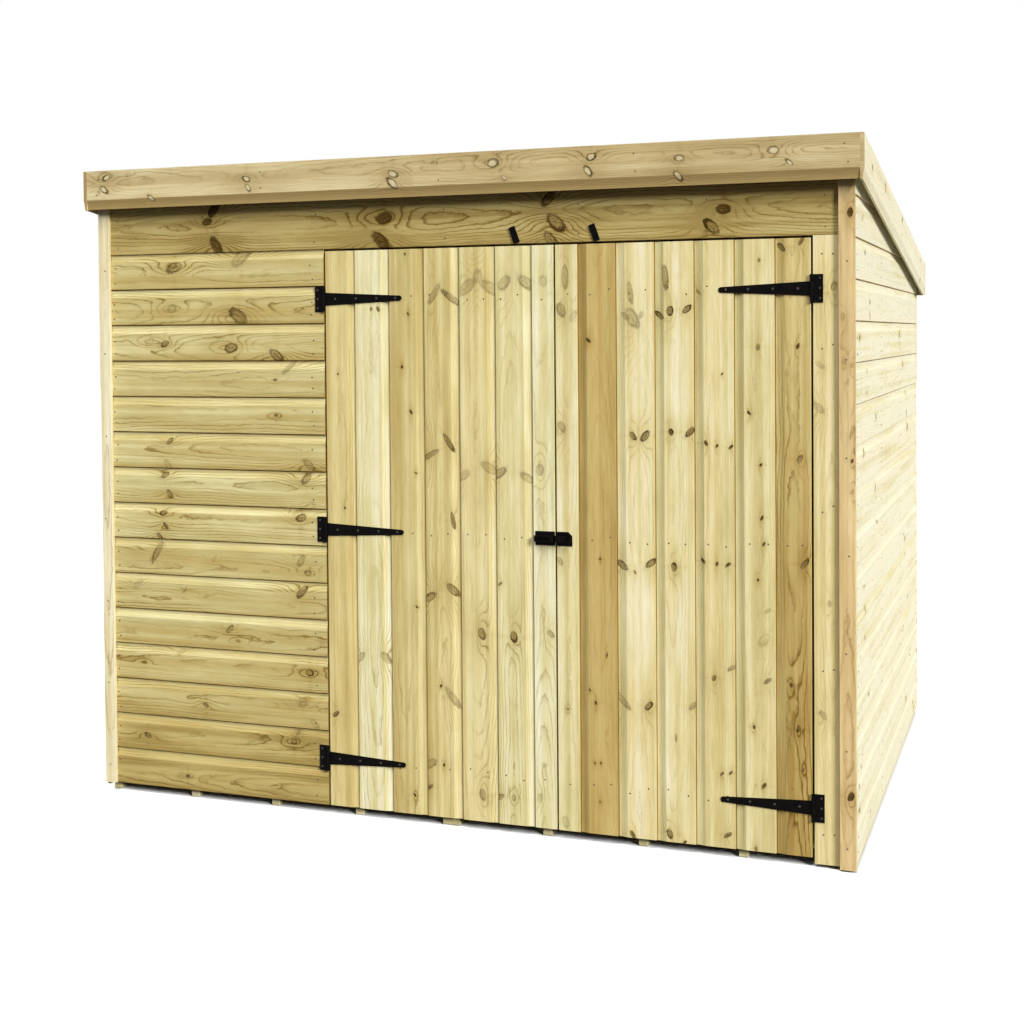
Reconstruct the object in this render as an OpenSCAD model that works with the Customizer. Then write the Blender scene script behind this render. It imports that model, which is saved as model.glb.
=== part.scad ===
// Pent garden shed in shiplap boards, with double doors on black tee hinges

/* [Body] */
// width over the two side walls
wall_w = 2440; // [1800:10:3600]
// depth over the front and back walls
wall_d = 1830; // [1200:10:3000]
// height of the roof boards at the front edge
front_h = 2030; // [1900:5:2400]
// height of the roof boards at the back edge
back_h = 1757; // [1600:5:2300]
// height from the lintel board's lower edge to the front roof edge
lintel_drop = 271.5; // [150:0.5:400]
// visible height of one wall board
board_cover = 115.5; // [90:0.5:125]
// thickness of the wall boards
clad_t = 12; // [8:0.5:20]
// height of the front boards' lower edge
front_clad_z = 26; // [5:1:40]
// height of the side and back boards' lower edge
side_clad_z = 18; // [5:1:40]

/* [Shiplap profile] */
// height of the scooped band on a board
scoop_h = 26; // [10:1:40]
// depth of the scoop
scoop_d = 5; // [2:0.5:7]

/* [Corner strips] */
// width of the left and back corner strips
strip_w = 40; // [25:1:70]
// width of the front right corner strip
strip_right_w = 46; // [25:1:70]
// thickness of the corner strips
strip_t = 12; // [8:1:22]
// height of the front left strip's lower end
strip_left_z = 27; // [0:1:60]
// height of the front right strip's lower end
strip_right_z = 5; // [0:1:60]

/* [Framing] */
// thickness of the frame timber, across the wall
frame_t = 28; // [20:1:50]
// width of the frame timber, along the wall
frame_w = 45; // [30:1:70]
// number of inner studs in the back wall
back_stud_count = 3; // [1:1:5]
// number of inner studs in each side wall
side_stud_count = 2; // [1:1:4]
// height of the middle rails
mid_rail_z = 900; // [600:10:1200]

/* [Floor] */
// height of the bearers
bearer_h = 45; // [35:1:75]
// width of the bearers
bearer_w = 28; // [20:1:60]
// number of bearers under each half of the floor
bearer_count = 5; // [3:1:6]
// thickness of the floor boards
floor_t = 12; // [9:1:22]
// room between the floor's front edge and the doors
floor_gap = 6; // [5:0.5:12]

/* [Doors] */
// width of the door post to the right of the doorway
post_w = 105; // [90:1:300]
// width of the doorway
doorway_w = 1509; // [1200:1:1800]
// gap beside and between the doors
door_gap = 6; // [5:0.5:10]
// gap over the doors
door_top_gap = 6; // [5:0.5:20]
// height of the doors' lower edge
door_z = 27; // [10:1:50]
// width of the board at a door's hinged edge
door_first_board = 98; // [60:0.5:115]
// height of the door post's lower end
post_z = 10; // [0:1:40]
// width of the ledges on the doors' inside
ledge_w = 70; // [45:1:120]
// thickness of the ledges and braces
ledge_t = 20; // [12:1:28]
// distance from the ledges' ends to the doors' edges
ledge_inset = 42; // [25:1:80]
// width of the braces
brace_w = 60; // [40:1:100]

/* [Tee hinges] */
// height of a hinge plate
plate_h = 78; // [60:1:110]
// width of a hinge plate
plate_w = 27; // [18:1:50]
// length of a hinge strap from the pin
strap_l = 262; // [150:1:400]
// height of a strap at the pin
strap_root = 40; // [24:1:50]
// height of a strap at its tip
strap_tip = 15; // [10:1:24]
// thickness of the hinge metal
hinge_t = 2.5; // [1.5:0.25:4]
// outer radius of the knuckles
knuckle_r = 4.5; // [3.5:0.25:7]
// radius of the hinge pins
pin_r = 2.5; // [1.5:0.25:3]
// distance of the left door's outer hinges from its ends
left_hinge_end = 148; // [100:1:300]
// distance of the right door's outer hinges from its ends
right_hinge_end = 140; // [100:1:300]

/* [Turn buttons] */
// length of a turn button
button_l = 50; // [40:1:70]
// width of a turn button
button_w = 18; // [10:0.5:24]
// thickness of a turn button
button_t = 5; // [3:0.5:8]
// distance of the pivot from the button's near end
button_short = 15; // [10:0.5:24]
// lean of the buttons
button_lean = 20; // [0:1:45]
// left button from the gap between the doors
button_left_x = 119; // [60:1:250]
// right button from the gap between the doors
button_right_x = 128; // [60:1:250]
// radius of a button's screw
screw_r = 2.5; // [1.5:0.25:3.5]
// radius of a button screw's head
screw_head_r = 4.5; // [3.5:0.25:6]

/* [Door bolt] */
// length of the bolt's housing
bolt_l = 60; // [50:1:90]
// height of the bolt's plates
bolt_h = 41; // [30:1:60]
// length of the keep
keep_l = 48; // [40:1:70]
// radius of the bolt's bar
bar_r = 5; // [3.5:0.25:6]
// travel of the bolt's bar
bar_travel = 30; // [20:1:36]

/* [Roof] */
// overhang at the front and back
eaves = 45; // [25:1:120]
// overhang at the sides
verge = 30; // [20:1:120]
// thickness of the roof boards
deck_t = 12; // [9:0.5:20]
// thickness of the felt
felt_t = 2.5; // [1.5:0.5:5]
// height of the fascias
fascia_h = 124; // [90:1:160]
// thickness of the fascias and bargeboards
fascia_t = 12; // [9:0.5:20]
// height of the scooped band on the fascias
fascia_scoop_h = 30; // [15:1:45]
// number of rafters under the roof boards
rafter_count = 3; // [1:1:6]

/* [Hidden] */
$fn = 48;
scoop_steps = 6;
run_gap = 0.1;
knuckle_clear = 1;
button_clear = 6;
head_t = 2;
bar_clear = 1.5;
housing_wall = 2.5;
housing_rim = 4;
knob_out = 6;
keep_corner = 12;
keep_wall = 3;
seat_gap = 0.3;
roof_seat = 0.1;
half_w = wall_w / 2;
mid_y = wall_d / 2;
slope = (back_h - front_h) / (wall_d + 2 * eaves);
pitch = atan(slope);
deck_v = deck_t / cos(pitch);
felt_v = felt_t / cos(pitch);
frame_x = half_w - clad_t;
frame_y = clad_t + frame_t;
floor_top = bearer_h + floor_t;
floor_y = clad_t + floor_gap;
rail_top = floor_top + frame_w;
lintel_z = front_h - lintel_drop;
door_top = lintel_z - door_top_gap;
door_mid = (door_z + door_top) / 2;
door_x1 = frame_x - post_w;
door_x0 = door_x1 - doorway_w;
meet_x = (door_x0 + door_x1) / 2;
leaf_w = (doorway_w - 3 * door_gap) / 2;
pin_y = knuckle_r + knuckle_clear;
strap_half = strap_root / 2;
left_hinges = [door_z + left_hinge_end, door_mid, door_top - left_hinge_end];
right_hinges = [door_z + right_hinge_end, door_top - right_hinge_end];
left_ledges = left_hinges;
right_ledges = [right_hinges[0], door_mid, right_hinges[1]];
button_drop = button_short * cos(button_lean) + button_w * sin(button_lean) / 2;
button_z = door_top + button_clear + button_drop;
bar_y = hinge_t + bar_r + bar_clear;
bore_r = bar_r + run_gap;
housing_y = bar_y + bar_r + housing_wall;
housing_h = 2 * (bar_r + housing_rim);
knob_r = bar_r * 0.6;
knob_x = 2 * knob_r + knob_out - bolt_l;
keep_window = bar_r + bar_clear;

// height of the roof boards' top and underside at a depth behind the front wall's face
function roof_z(y) = front_h + slope * (y + eaves);
function deck_z(y) = roof_z(y) - deck_v;

// height of a wall or rafter that the roof boards rest on
function under_z(y) = deck_z(y) - roof_seat;

// moves the front wall's frame of reference to the middle of the shed
module placed() {
  translate([0, -mid_y, 0]) children();
}

// straight piece of timber between two corners
module timber(x0, x1, y0, y1, z0, z1) {
  translate([x0, y0, z0]) cube([x1 - x0, y1 - y0, z1 - z0]);
}

// outline in depth and height, drawn out across the shed
module across(x0, x1, outline) {
  translate([x0, 0, 0]) rotate([90, 0, 90]) linear_extrude(x1 - x0) polygon(outline);
}

// timber whose top follows the roof's underside
module under_roof(x0, x1, y0, y1, z0) {
  across(x0, x1, [[y0, z0], [y1, z0], [y1, under_z(y1)], [y0, under_z(y0)]]);
}

// everything below the roof boards
module below_roof() {
  reach = wall_d + wall_w;
  across(-wall_w, wall_w, [[-reach, 0], [reach, 0], [reach, under_z(reach)], [-reach, under_z(-reach)]]);
}

// concave scoop that ends at a board's edge, as distance along and depth
function scoop(edge) = [
  for (i = [0 : scoop_steps]) let (u = i / scoop_steps)
    [edge - scoop_h * (1 - u), scoop_d * sin(90 * u)]
];

// section through a run of shiplap boards; the first joint lies at "first"
module shiplap_section(lo, hi, first, scooped_end) {
  joints = [for (edge = [first : board_cover : hi - scoop_h]) edge];
  polygon(concat(
    [[lo, 0]],
    [for (edge = joints) each concat(scoop(edge), [[edge, 0]])],
    scooped_end ? scoop(hi) : [[hi, 0]],
    [[hi, clad_t], [lo, clad_t]]
  ));
}

// horizontal shiplap with its face to the front
module shiplap_wall(x0, x1, z0, z1, scooped_end) {
  translate([x1, 0, 0])
    rotate([0, -90, 0])
      linear_extrude(x1 - x0)
        shiplap_section(z0, z1, z0 + board_cover, scooped_end);
}

// side wall boards, cut along the roof
module side_cladding() {
  intersection() {
    translate([half_w, 0, 0])
      rotate([0, 0, 90])
        shiplap_wall(0, wall_d, side_clad_z, front_h, false);
    below_roof();
  }
}

// centres of evenly spread pieces between two ends
function spread(lo, hi, count) = [for (i = [1 : count]) lo + (hi - lo) * i / (count + 1)];

side_stud_y = spread(frame_y + frame_w / 2, wall_d - frame_y - frame_w / 2, side_stud_count);

module side_stud(y) {
  across(frame_x - frame_t, frame_x, [
    [y - frame_w / 2, rail_top],
    [y + frame_w / 2, rail_top],
    [y + frame_w / 2, under_z(y + frame_w / 2) - frame_w - roof_seat],
    [y - frame_w / 2, under_z(y - frame_w / 2) - frame_w - roof_seat]
  ]);
}

module side_studs() {
  side_stud(frame_y + frame_w / 2);
  for (y = side_stud_y) {
    side_stud(y);
  }
  side_stud(wall_d - frame_y - frame_w / 2);
}

module side_rails() {
  edges = concat([frame_y + frame_w / 2], side_stud_y, [wall_d - frame_y - frame_w / 2]);
  timber(frame_x - frame_t, frame_x, frame_y, wall_d - frame_y, floor_top, rail_top);
  for (i = [1 : len(edges) - 1]) {
    timber(frame_x - frame_t, frame_x, edges[i - 1] + frame_w / 2, edges[i] - frame_w / 2,
      mid_rail_z, mid_rail_z + frame_w);
  }
  across(frame_x - frame_t, frame_x, [
    [frame_y, under_z(frame_y) - frame_w],
    [wall_d - frame_y, under_z(wall_d - frame_y) - frame_w],
    [wall_d - frame_y, under_z(wall_d - frame_y)],
    [frame_y, under_z(frame_y)]
  ]);
}

// fascia section in depth and height, with the scoop at its foot
module fascia_section(top_z, back_z) {
  foot = top_z - fascia_h;
  polygon(concat(
    [for (i = [0 : scoop_steps]) let (u = i / scoop_steps)
      [scoop_d * sin(90 * (1 - u)), foot + fascia_scoop_h * u]],
    [[0, top_z], [fascia_t, back_z], [fascia_t, foot]]
  ));
}

module bargeboard() {
  reach = wall_d + 4 * eaves;
  intersection() {
    translate([half_w + verge, -eaves, front_h])
      rotate([pitch, 0, 0])
        translate([0, -eaves, 0])
          rotate([90, 0, 180])
            linear_extrude(reach)
              fascia_section(0, 0);
    timber(half_w, half_w + 2 * verge, -eaves, wall_d + eaves - fascia_t, 0, 2 * front_h);
  }
}

// puts a door's own frame, measured from its hinged edge, in the doorway
module on_left_door() {
  placed() translate([door_x0 + door_gap, 0, 0]) children();
}

module on_right_door() {
  placed() translate([door_x1 - door_gap, 0, 0]) mirror([1, 0, 0]) children();
}

module door_boards() {
  translate([0, 0, door_z])
    linear_extrude(door_top - door_z)
      shiplap_section(0, leaf_w, door_first_board, false);
}

module door_ledges(heights) {
  for (z = heights) {
    timber(ledge_inset, leaf_w - ledge_inset, clad_t, clad_t + ledge_t, z - ledge_w / 2, z + ledge_w / 2);
  }
}

module door_braces(heights) {
  near = ledge_inset;
  far = leaf_w - ledge_inset;
  for (i = [1 : len(heights) - 1]) {
    low = heights[i - 1] + ledge_w / 2;
    high = heights[i] - ledge_w / 2;
    cut = brace_w * sqrt(pow(high - low, 2) + pow(far - near, 2)) / (high - low);
    translate([0, clad_t + ledge_t, 0])
      rotate([90, 0, 0])
        linear_extrude(ledge_t)
          polygon([[near, low], [near + cut, low], [far, high], [far - cut, high]]);
  }
}

// fixed half of a tee hinge, about its pin
module hinge_plate() {
  timber(-plate_w - knuckle_r, -knuckle_r, -hinge_t, 0, -plate_h / 2, plate_h / 2);
  for (s = [-1, 1]) {
    translate([0, 0, s * (plate_h + strap_root) / 4]) {
      translate([0, -pin_y, -(plate_h - strap_root) / 4])
        cylinder(r = knuckle_r, h = (plate_h - strap_root) / 2);
      timber(-knuckle_r - knuckle_clear, 0, -hinge_t - knuckle_clear, -knuckle_clear,
        -(plate_h - strap_root) / 4, (plate_h - strap_root) / 4);
    }
  }
  translate([0, -pin_y, -plate_h / 2]) cylinder(r = pin_r, h = plate_h);
}

// moving half of a tee hinge, about its pin
module hinge_strap() {
  root = strap_half - seat_gap;
  difference() {
    union() {
      translate([0, -pin_y, -root]) cylinder(r = knuckle_r, h = 2 * root);
      timber(0, knuckle_r + hinge_t, -hinge_t - knuckle_clear, -knuckle_clear, -root, root);
    }
    translate([0, -pin_y, -strap_root]) cylinder(r = pin_r + run_gap, h = 2 * strap_root);
  }
  rotate([90, 0, 0])
    linear_extrude(hinge_t) {
      polygon([
        [knuckle_r, -root], [strap_l - strap_tip / 2, -strap_tip / 2],
        [strap_l - strap_tip / 2, strap_tip / 2], [knuckle_r, root]
      ]);
      translate([strap_l - strap_tip / 2, 0]) circle(d = strap_tip);
    }
}

module at_hinges(heights) {
  for (z = heights) {
    translate([-door_gap / 2, 0, z]) children();
  }
}

// turn button about its screw, long arm up
module turn_button() {
  translate([0, -seat_gap, button_z])
    rotate([90, 0, 0])
      rotate([0, 0, button_lean])
        linear_extrude(button_t)
          difference() {
            translate([-button_w / 2, -button_short]) square([button_w, button_l]);
            circle(r = screw_r + run_gap);
          }
}

module button_screw() {
  neck = button_t + 2 * seat_gap;
  translate([0, 0, button_z])
    rotate([90, 0, 0]) {
      cylinder(r = screw_r, h = neck + head_t);
      translate([0, 0, neck]) cylinder(r = screw_head_r, h = head_t);
    }
}

// bolt's own frame: its edge at the gap between the doors, at the bar's height
module on_bolt() {
  translate([leaf_w, 0, door_mid]) children();
}

module floor_bearers() {
  step = (frame_x - bearer_w) / (bearer_count - 1);
  color("darkkhaki")
    placed()
      for (side = [-1, 1]) {
        for (i = [0 : bearer_count - 1]) {
          x = side * (seat_gap + bearer_w / 2 + i * (step - seat_gap / (bearer_count - 1)));
          timber(x - bearer_w / 2, x + bearer_w / 2, floor_y, wall_d - clad_t, 0, bearer_h);
        }
      }
}

module floor_boards() {
  color("burlywood")
    placed()
      timber(-frame_x, frame_x, floor_y, wall_d - clad_t, bearer_h, floor_top);
}

module front_cladding() {
  color("khaki")
    placed()
      shiplap_wall(-frame_x, door_x0, front_clad_z, lintel_z, true);
}

module front_lintel_board() {
  color("tan")
    placed()
      under_roof(-frame_x, frame_x, 0, clad_t, lintel_z);
}

module front_door_post() {
  color("khaki")
    placed()
      timber(door_x1, frame_x, 0, clad_t, post_z, lintel_z);
}

front_stud_x = [
  -frame_x, (door_x0 - frame_w - frame_x) / 2, door_x0 - frame_w, door_x1, frame_x - frame_w
];

module front_studs() {
  color("goldenrod")
    placed()
      for (x = front_stud_x) {
        timber(x, x + frame_w, clad_t, frame_y, rail_top, under_z(frame_y) - frame_w);
      }
}

module front_rails() {
  color("peru")
    placed() {
      timber(-frame_x, door_x0, clad_t, frame_y, floor_top, rail_top);
      timber(door_x1, frame_x, clad_t, frame_y, floor_top, rail_top);
      timber(door_x0, door_x1, clad_t, frame_y, lintel_z, lintel_z + frame_w);
      under_roof(-frame_x, frame_x, clad_t, frame_y, under_z(frame_y) - frame_w);
    }
}

module right_cladding() {
  color("lemonchiffon") placed() side_cladding();
}

module right_studs() {
  color("goldenrod") placed() side_studs();
}

module right_rails() {
  color("peru") placed() side_rails();
}

module left_cladding() {
  color("lemonchiffon") placed() mirror([1, 0, 0]) side_cladding();
}

module left_studs() {
  color("goldenrod") placed() mirror([1, 0, 0]) side_studs();
}

module left_rails() {
  color("peru") placed() mirror([1, 0, 0]) side_rails();
}

module back_cladding() {
  color("khaki")
    placed()
      intersection() {
        translate([0, wall_d, 0])
          mirror([0, 1, 0])
            shiplap_wall(-frame_x, frame_x, side_clad_z, front_h, false);
        below_roof();
      }
}

back_y = wall_d - frame_y;
back_top = under_z(wall_d - clad_t) - frame_w;

module back_studs() {
  ends = frame_x - frame_w / 2;
  color("goldenrod")
    placed()
      for (x = concat([-ends], spread(-ends, ends, back_stud_count), [ends])) {
        timber(x - frame_w / 2, x + frame_w / 2, back_y, wall_d - clad_t, rail_top, back_top);
      }
}

module back_rails() {
  color("peru")
    placed() {
      timber(-frame_x, frame_x, back_y, wall_d - clad_t, floor_top, rail_top);
      under_roof(-frame_x, frame_x, back_y, wall_d - clad_t, back_top);
    }
}

module front_left_corner_strip() {
  color("wheat")
    placed()
      under_roof(-half_w, strip_w - half_w, -strip_t, 0, strip_left_z);
}

module front_right_corner_strip() {
  color("burlywood")
    placed()
      under_roof(half_w - strip_right_w, half_w, -strip_t, 0, strip_right_z);
}

module back_left_corner_strip() {
  color("wheat")
    placed()
      under_roof(-half_w, strip_w - half_w, wall_d, wall_d + strip_t, side_clad_z);
}

module back_right_corner_strip() {
  color("wheat")
    placed()
      under_roof(half_w - strip_w, half_w, wall_d, wall_d + strip_t, side_clad_z);
}

module roof_rafters() {
  color("peru")
    placed()
      for (x = spread(-frame_x, frame_x, rafter_count)) {
        across(x - frame_t / 2, x + frame_t / 2, [
          [frame_y, under_z(frame_y) - frame_w],
          [back_y, under_z(back_y) - frame_w],
          [back_y, under_z(back_y)],
          [frame_y, under_z(frame_y)]
        ]);
      }
}

module roof_deck() {
  y0 = fascia_t - eaves;
  y1 = wall_d + eaves - fascia_t;
  x1 = half_w + verge - fascia_t;
  color("sandybrown")
    placed()
      across(-x1, x1, [[y0, deck_z(y0)], [y1, deck_z(y1)], [y1, roof_z(y1)], [y0, roof_z(y0)]]);
}

module roof_felt() {
  y0 = -eaves;
  y1 = wall_d + eaves;
  x1 = half_w + verge;
  color("dimgray")
    placed()
      translate([0, 0, roof_seat])
        across(-x1, x1, [
          [y0, roof_z(y0)], [y1, roof_z(y1)], [y1, roof_z(y1) + felt_v], [y0, roof_z(y0) + felt_v]
        ]);
}

module front_fascia() {
  x1 = half_w + verge - fascia_t;
  color("tan")
    placed()
      translate([-x1, -eaves, 0])
        rotate([90, 0, 90])
          linear_extrude(2 * x1)
            fascia_section(front_h, roof_z(fascia_t - eaves));
}

module back_fascia() {
  x1 = half_w + verge;
  color("tan")
    placed()
      translate([-x1, wall_d + eaves, 0])
        mirror([0, 1, 0])
          rotate([90, 0, 90])
            linear_extrude(2 * x1)
              fascia_section(back_h, roof_z(wall_d + eaves - fascia_t));
}

module right_bargeboard() {
  color("tan") placed() bargeboard();
}

module left_bargeboard() {
  color("tan") placed() mirror([1, 0, 0]) bargeboard();
}

module left_door_boards() {
  color("palegoldenrod") on_left_door() door_boards();
}

module left_door_ledges() {
  color("burlywood") on_left_door() door_ledges(left_ledges);
}

module left_door_braces() {
  color("burlywood") on_left_door() door_braces(left_ledges);
}

module right_door_boards() {
  color("palegoldenrod") on_right_door() door_boards();
}

module right_door_ledges() {
  color("burlywood") on_right_door() door_ledges(right_ledges);
}

module right_door_braces() {
  color("burlywood") on_right_door() door_braces(right_ledges);
}

module left_hinge_plates() {
  color("black") on_left_door() at_hinges(left_hinges) hinge_plate();
}

module left_hinge_straps() {
  color("dimgray") on_left_door() at_hinges(left_hinges) hinge_strap();
}

module right_hinge_plates() {
  color("black") on_right_door() at_hinges(right_hinges) hinge_plate();
}

module right_hinge_straps() {
  color("dimgray") on_right_door() at_hinges(right_hinges) hinge_strap();
}

module left_turn_button() {
  color("black") placed() translate([meet_x - button_left_x, 0, 0]) turn_button();
}

module right_turn_button() {
  color("black") placed() translate([meet_x + button_right_x, 0, 0]) turn_button();
}

module turn_button_screws() {
  color("dimgray")
    placed() {
      translate([meet_x - button_left_x, 0, 0]) button_screw();
      translate([meet_x + button_right_x, 0, 0]) button_screw();
    }
}

module bolt_housing() {
  color("black")
    on_left_door()
      on_bolt()
        difference() {
          union() {
            timber(-bolt_l, 0, -hinge_t, 0, -bolt_h / 2, bolt_h / 2);
            timber(-bolt_l, 0, -housing_y, 0, -housing_h / 2, housing_h / 2);
          }
          translate([-2 * bolt_l, -bar_y, 0]) rotate([0, 90, 0]) cylinder(r = bore_r, h = 3 * bolt_l);
          timber(knob_x - knob_r - bar_clear, knob_x + bar_travel + knob_r + bar_clear,
            -2 * housing_y, -bar_y, -knob_r - bar_clear, knob_r + bar_clear);
        }
}

module bolt_bar() {
  color("dimgray")
    on_left_door()
      on_bolt() {
        translate([bar_clear - bolt_l, -bar_y, 0])
          rotate([0, 90, 0])
            cylinder(r = bar_r, h = bolt_l - 2 * bar_clear);
        translate([knob_x, -bar_y, 0])
          rotate([90, 0, 0])
            cylinder(r = knob_r, h = housing_y - bar_y + knob_out);
      }
}

module bolt_keep() {
  color("black")
    on_right_door()
      on_bolt()
        difference() {
          union() {
            rotate([90, 0, 0])
              linear_extrude(hinge_t)
                polygon([
                  [0, -bolt_h / 2], [0, bolt_h / 2], [keep_corner - keep_l, bolt_h / 2],
                  [-keep_l, bolt_h / 2 - keep_corner], [-keep_l, -bolt_h / 2]
                ]);
            timber(-bar_travel - keep_wall, 0, -bar_y - keep_window - keep_wall, 0,
              -keep_window - keep_wall, keep_window + keep_wall);
          }
          timber(-2 * keep_l, keep_l, -bar_y - keep_window, -hinge_t, -keep_window, keep_window);
        }
}

floor_bearers();
floor_boards();
front_cladding();
front_lintel_board();
front_door_post();
front_studs();
front_rails();
left_cladding();
left_studs();
left_rails();
right_cladding();
right_studs();
right_rails();
back_cladding();
back_studs();
back_rails();
front_left_corner_strip();
front_right_corner_strip();
back_left_corner_strip();
back_right_corner_strip();
roof_rafters();
roof_deck();
roof_felt();
front_fascia();
back_fascia();
left_bargeboard();
right_bargeboard();
left_door_boards();
left_door_ledges();
left_door_braces();
right_door_boards();
right_door_ledges();
right_door_braces();
left_hinge_plates();
left_hinge_straps();
right_hinge_plates();
right_hinge_straps();
left_turn_button();
right_turn_button();
turn_button_screws();
bolt_housing();
bolt_bar();
bolt_keep();
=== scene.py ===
import math
import random
from collections import namedtuple

import bmesh
import bpy
from mathutils import Euler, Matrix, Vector


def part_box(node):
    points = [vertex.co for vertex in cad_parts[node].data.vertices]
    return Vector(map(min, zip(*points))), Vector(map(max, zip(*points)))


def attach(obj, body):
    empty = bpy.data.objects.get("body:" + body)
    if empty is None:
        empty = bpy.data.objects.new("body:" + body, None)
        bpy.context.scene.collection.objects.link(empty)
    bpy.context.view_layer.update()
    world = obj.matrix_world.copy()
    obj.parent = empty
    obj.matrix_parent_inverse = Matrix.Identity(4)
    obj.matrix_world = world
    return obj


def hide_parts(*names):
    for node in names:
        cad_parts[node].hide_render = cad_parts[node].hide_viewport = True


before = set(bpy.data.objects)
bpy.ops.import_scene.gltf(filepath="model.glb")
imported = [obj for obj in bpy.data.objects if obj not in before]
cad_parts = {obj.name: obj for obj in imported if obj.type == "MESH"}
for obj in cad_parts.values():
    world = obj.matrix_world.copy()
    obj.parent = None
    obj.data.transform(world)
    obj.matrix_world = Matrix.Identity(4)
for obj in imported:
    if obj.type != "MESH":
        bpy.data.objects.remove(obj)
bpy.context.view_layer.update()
scene = bpy.context.scene
scene.view_settings.view_transform = "Standard"
rng = random.Random(41)

# Main sizes in metres, as in the part's source
FRONT = -0.915  # face of the front wall
DEPTH = 1.830  # over the walls
HALF = 1.220  # from the middle to a side wall's face
COVER = 0.1155  # one shiplap board and its joint
THICK = 0.012
SCOOP_H = 0.026
SCOOP_D = 0.005
FASCIA_SCOOP_H = 0.030
ROOF_Z = 2.030
EAVES = 0.045
SLOPE = 0.142188
DECK = 0.012
HINGE = 0.0025  # thickness of a hinge leaf

# Small sizes of the boards' sections
EASE = 0.0012  # arris of a board
FRAME_EASE = 0.0015
EDGE_EASE = 0.0008  # arris of a thin edge
SHADOW_GAP = 0.0024  # open joint between the faces of two boards
FOOT_ROUND = ((0.0, 0.0018), (0.0004, 0.0007), (0.0014, 0.0))  # round a board's lower arris, up and in
FOOT_BAND = 0.018  # browner band along a board's foot
REBATE_H = 0.0095
REBATE_D = 0.0082
TONGUE_FROM = 0.0003  # a tongue's foot and its top, in front and at its back, above the scoop
TONGUE_H = 0.0060
TONGUE_BACK_H = 0.0062
TONGUE_D = 0.0088
BACK = THICK - 0.0004  # a board's back, clear of the frame
SCOOP_STEPS = 8
SCOOP_LINE = 0.0005  # flat before a scoop's sharp line
BOARD_SHIFT = 0.0003  # how far wall boards stand in or out


def roof_z(y):
    """Height of the roof's top face at a place from front to back."""
    return ROOF_Z - SLOPE * (y - FRONT + EAVES)


def jitter(reach):
    """A small step to either side."""
    return rng.uniform(-reach, reach)


def reckoned(op, turned=False):
    """How a value is reckoned with: an operator made as a node."""

    def act(self, other=None):
        a, b = (other, self) if turned else (self, other)
        return self.graph.math(op, a, b)

    return act


class Value:
    """A number, vector or colour in a material's graph."""

    def __init__(self, graph, socket):
        self.graph = graph
        self.socket = socket

    __add__ = reckoned("ADD")
    __sub__ = reckoned("SUBTRACT")
    __rsub__ = reckoned("SUBTRACT", turned=True)
    __mul__ = reckoned("MULTIPLY")
    __truediv__ = reckoned("DIVIDE")
    __gt__ = reckoned("GREATER_THAN")
    __lt__ = reckoned("LESS_THAN")
    __abs__ = reckoned("ABSOLUTE")
    larger = reckoned("MAXIMUM")
    smaller = reckoned("MINIMUM")
    sine = reckoned("SINE")
    cosine = reckoned("COSINE")
    root = reckoned("SQRT")
    power = reckoned("EXPONENT")
    fraction = reckoned("FRACT")

    def clamped(self):
        return self.graph.math("ADD", self, 0.0, clamp=True)


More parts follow.
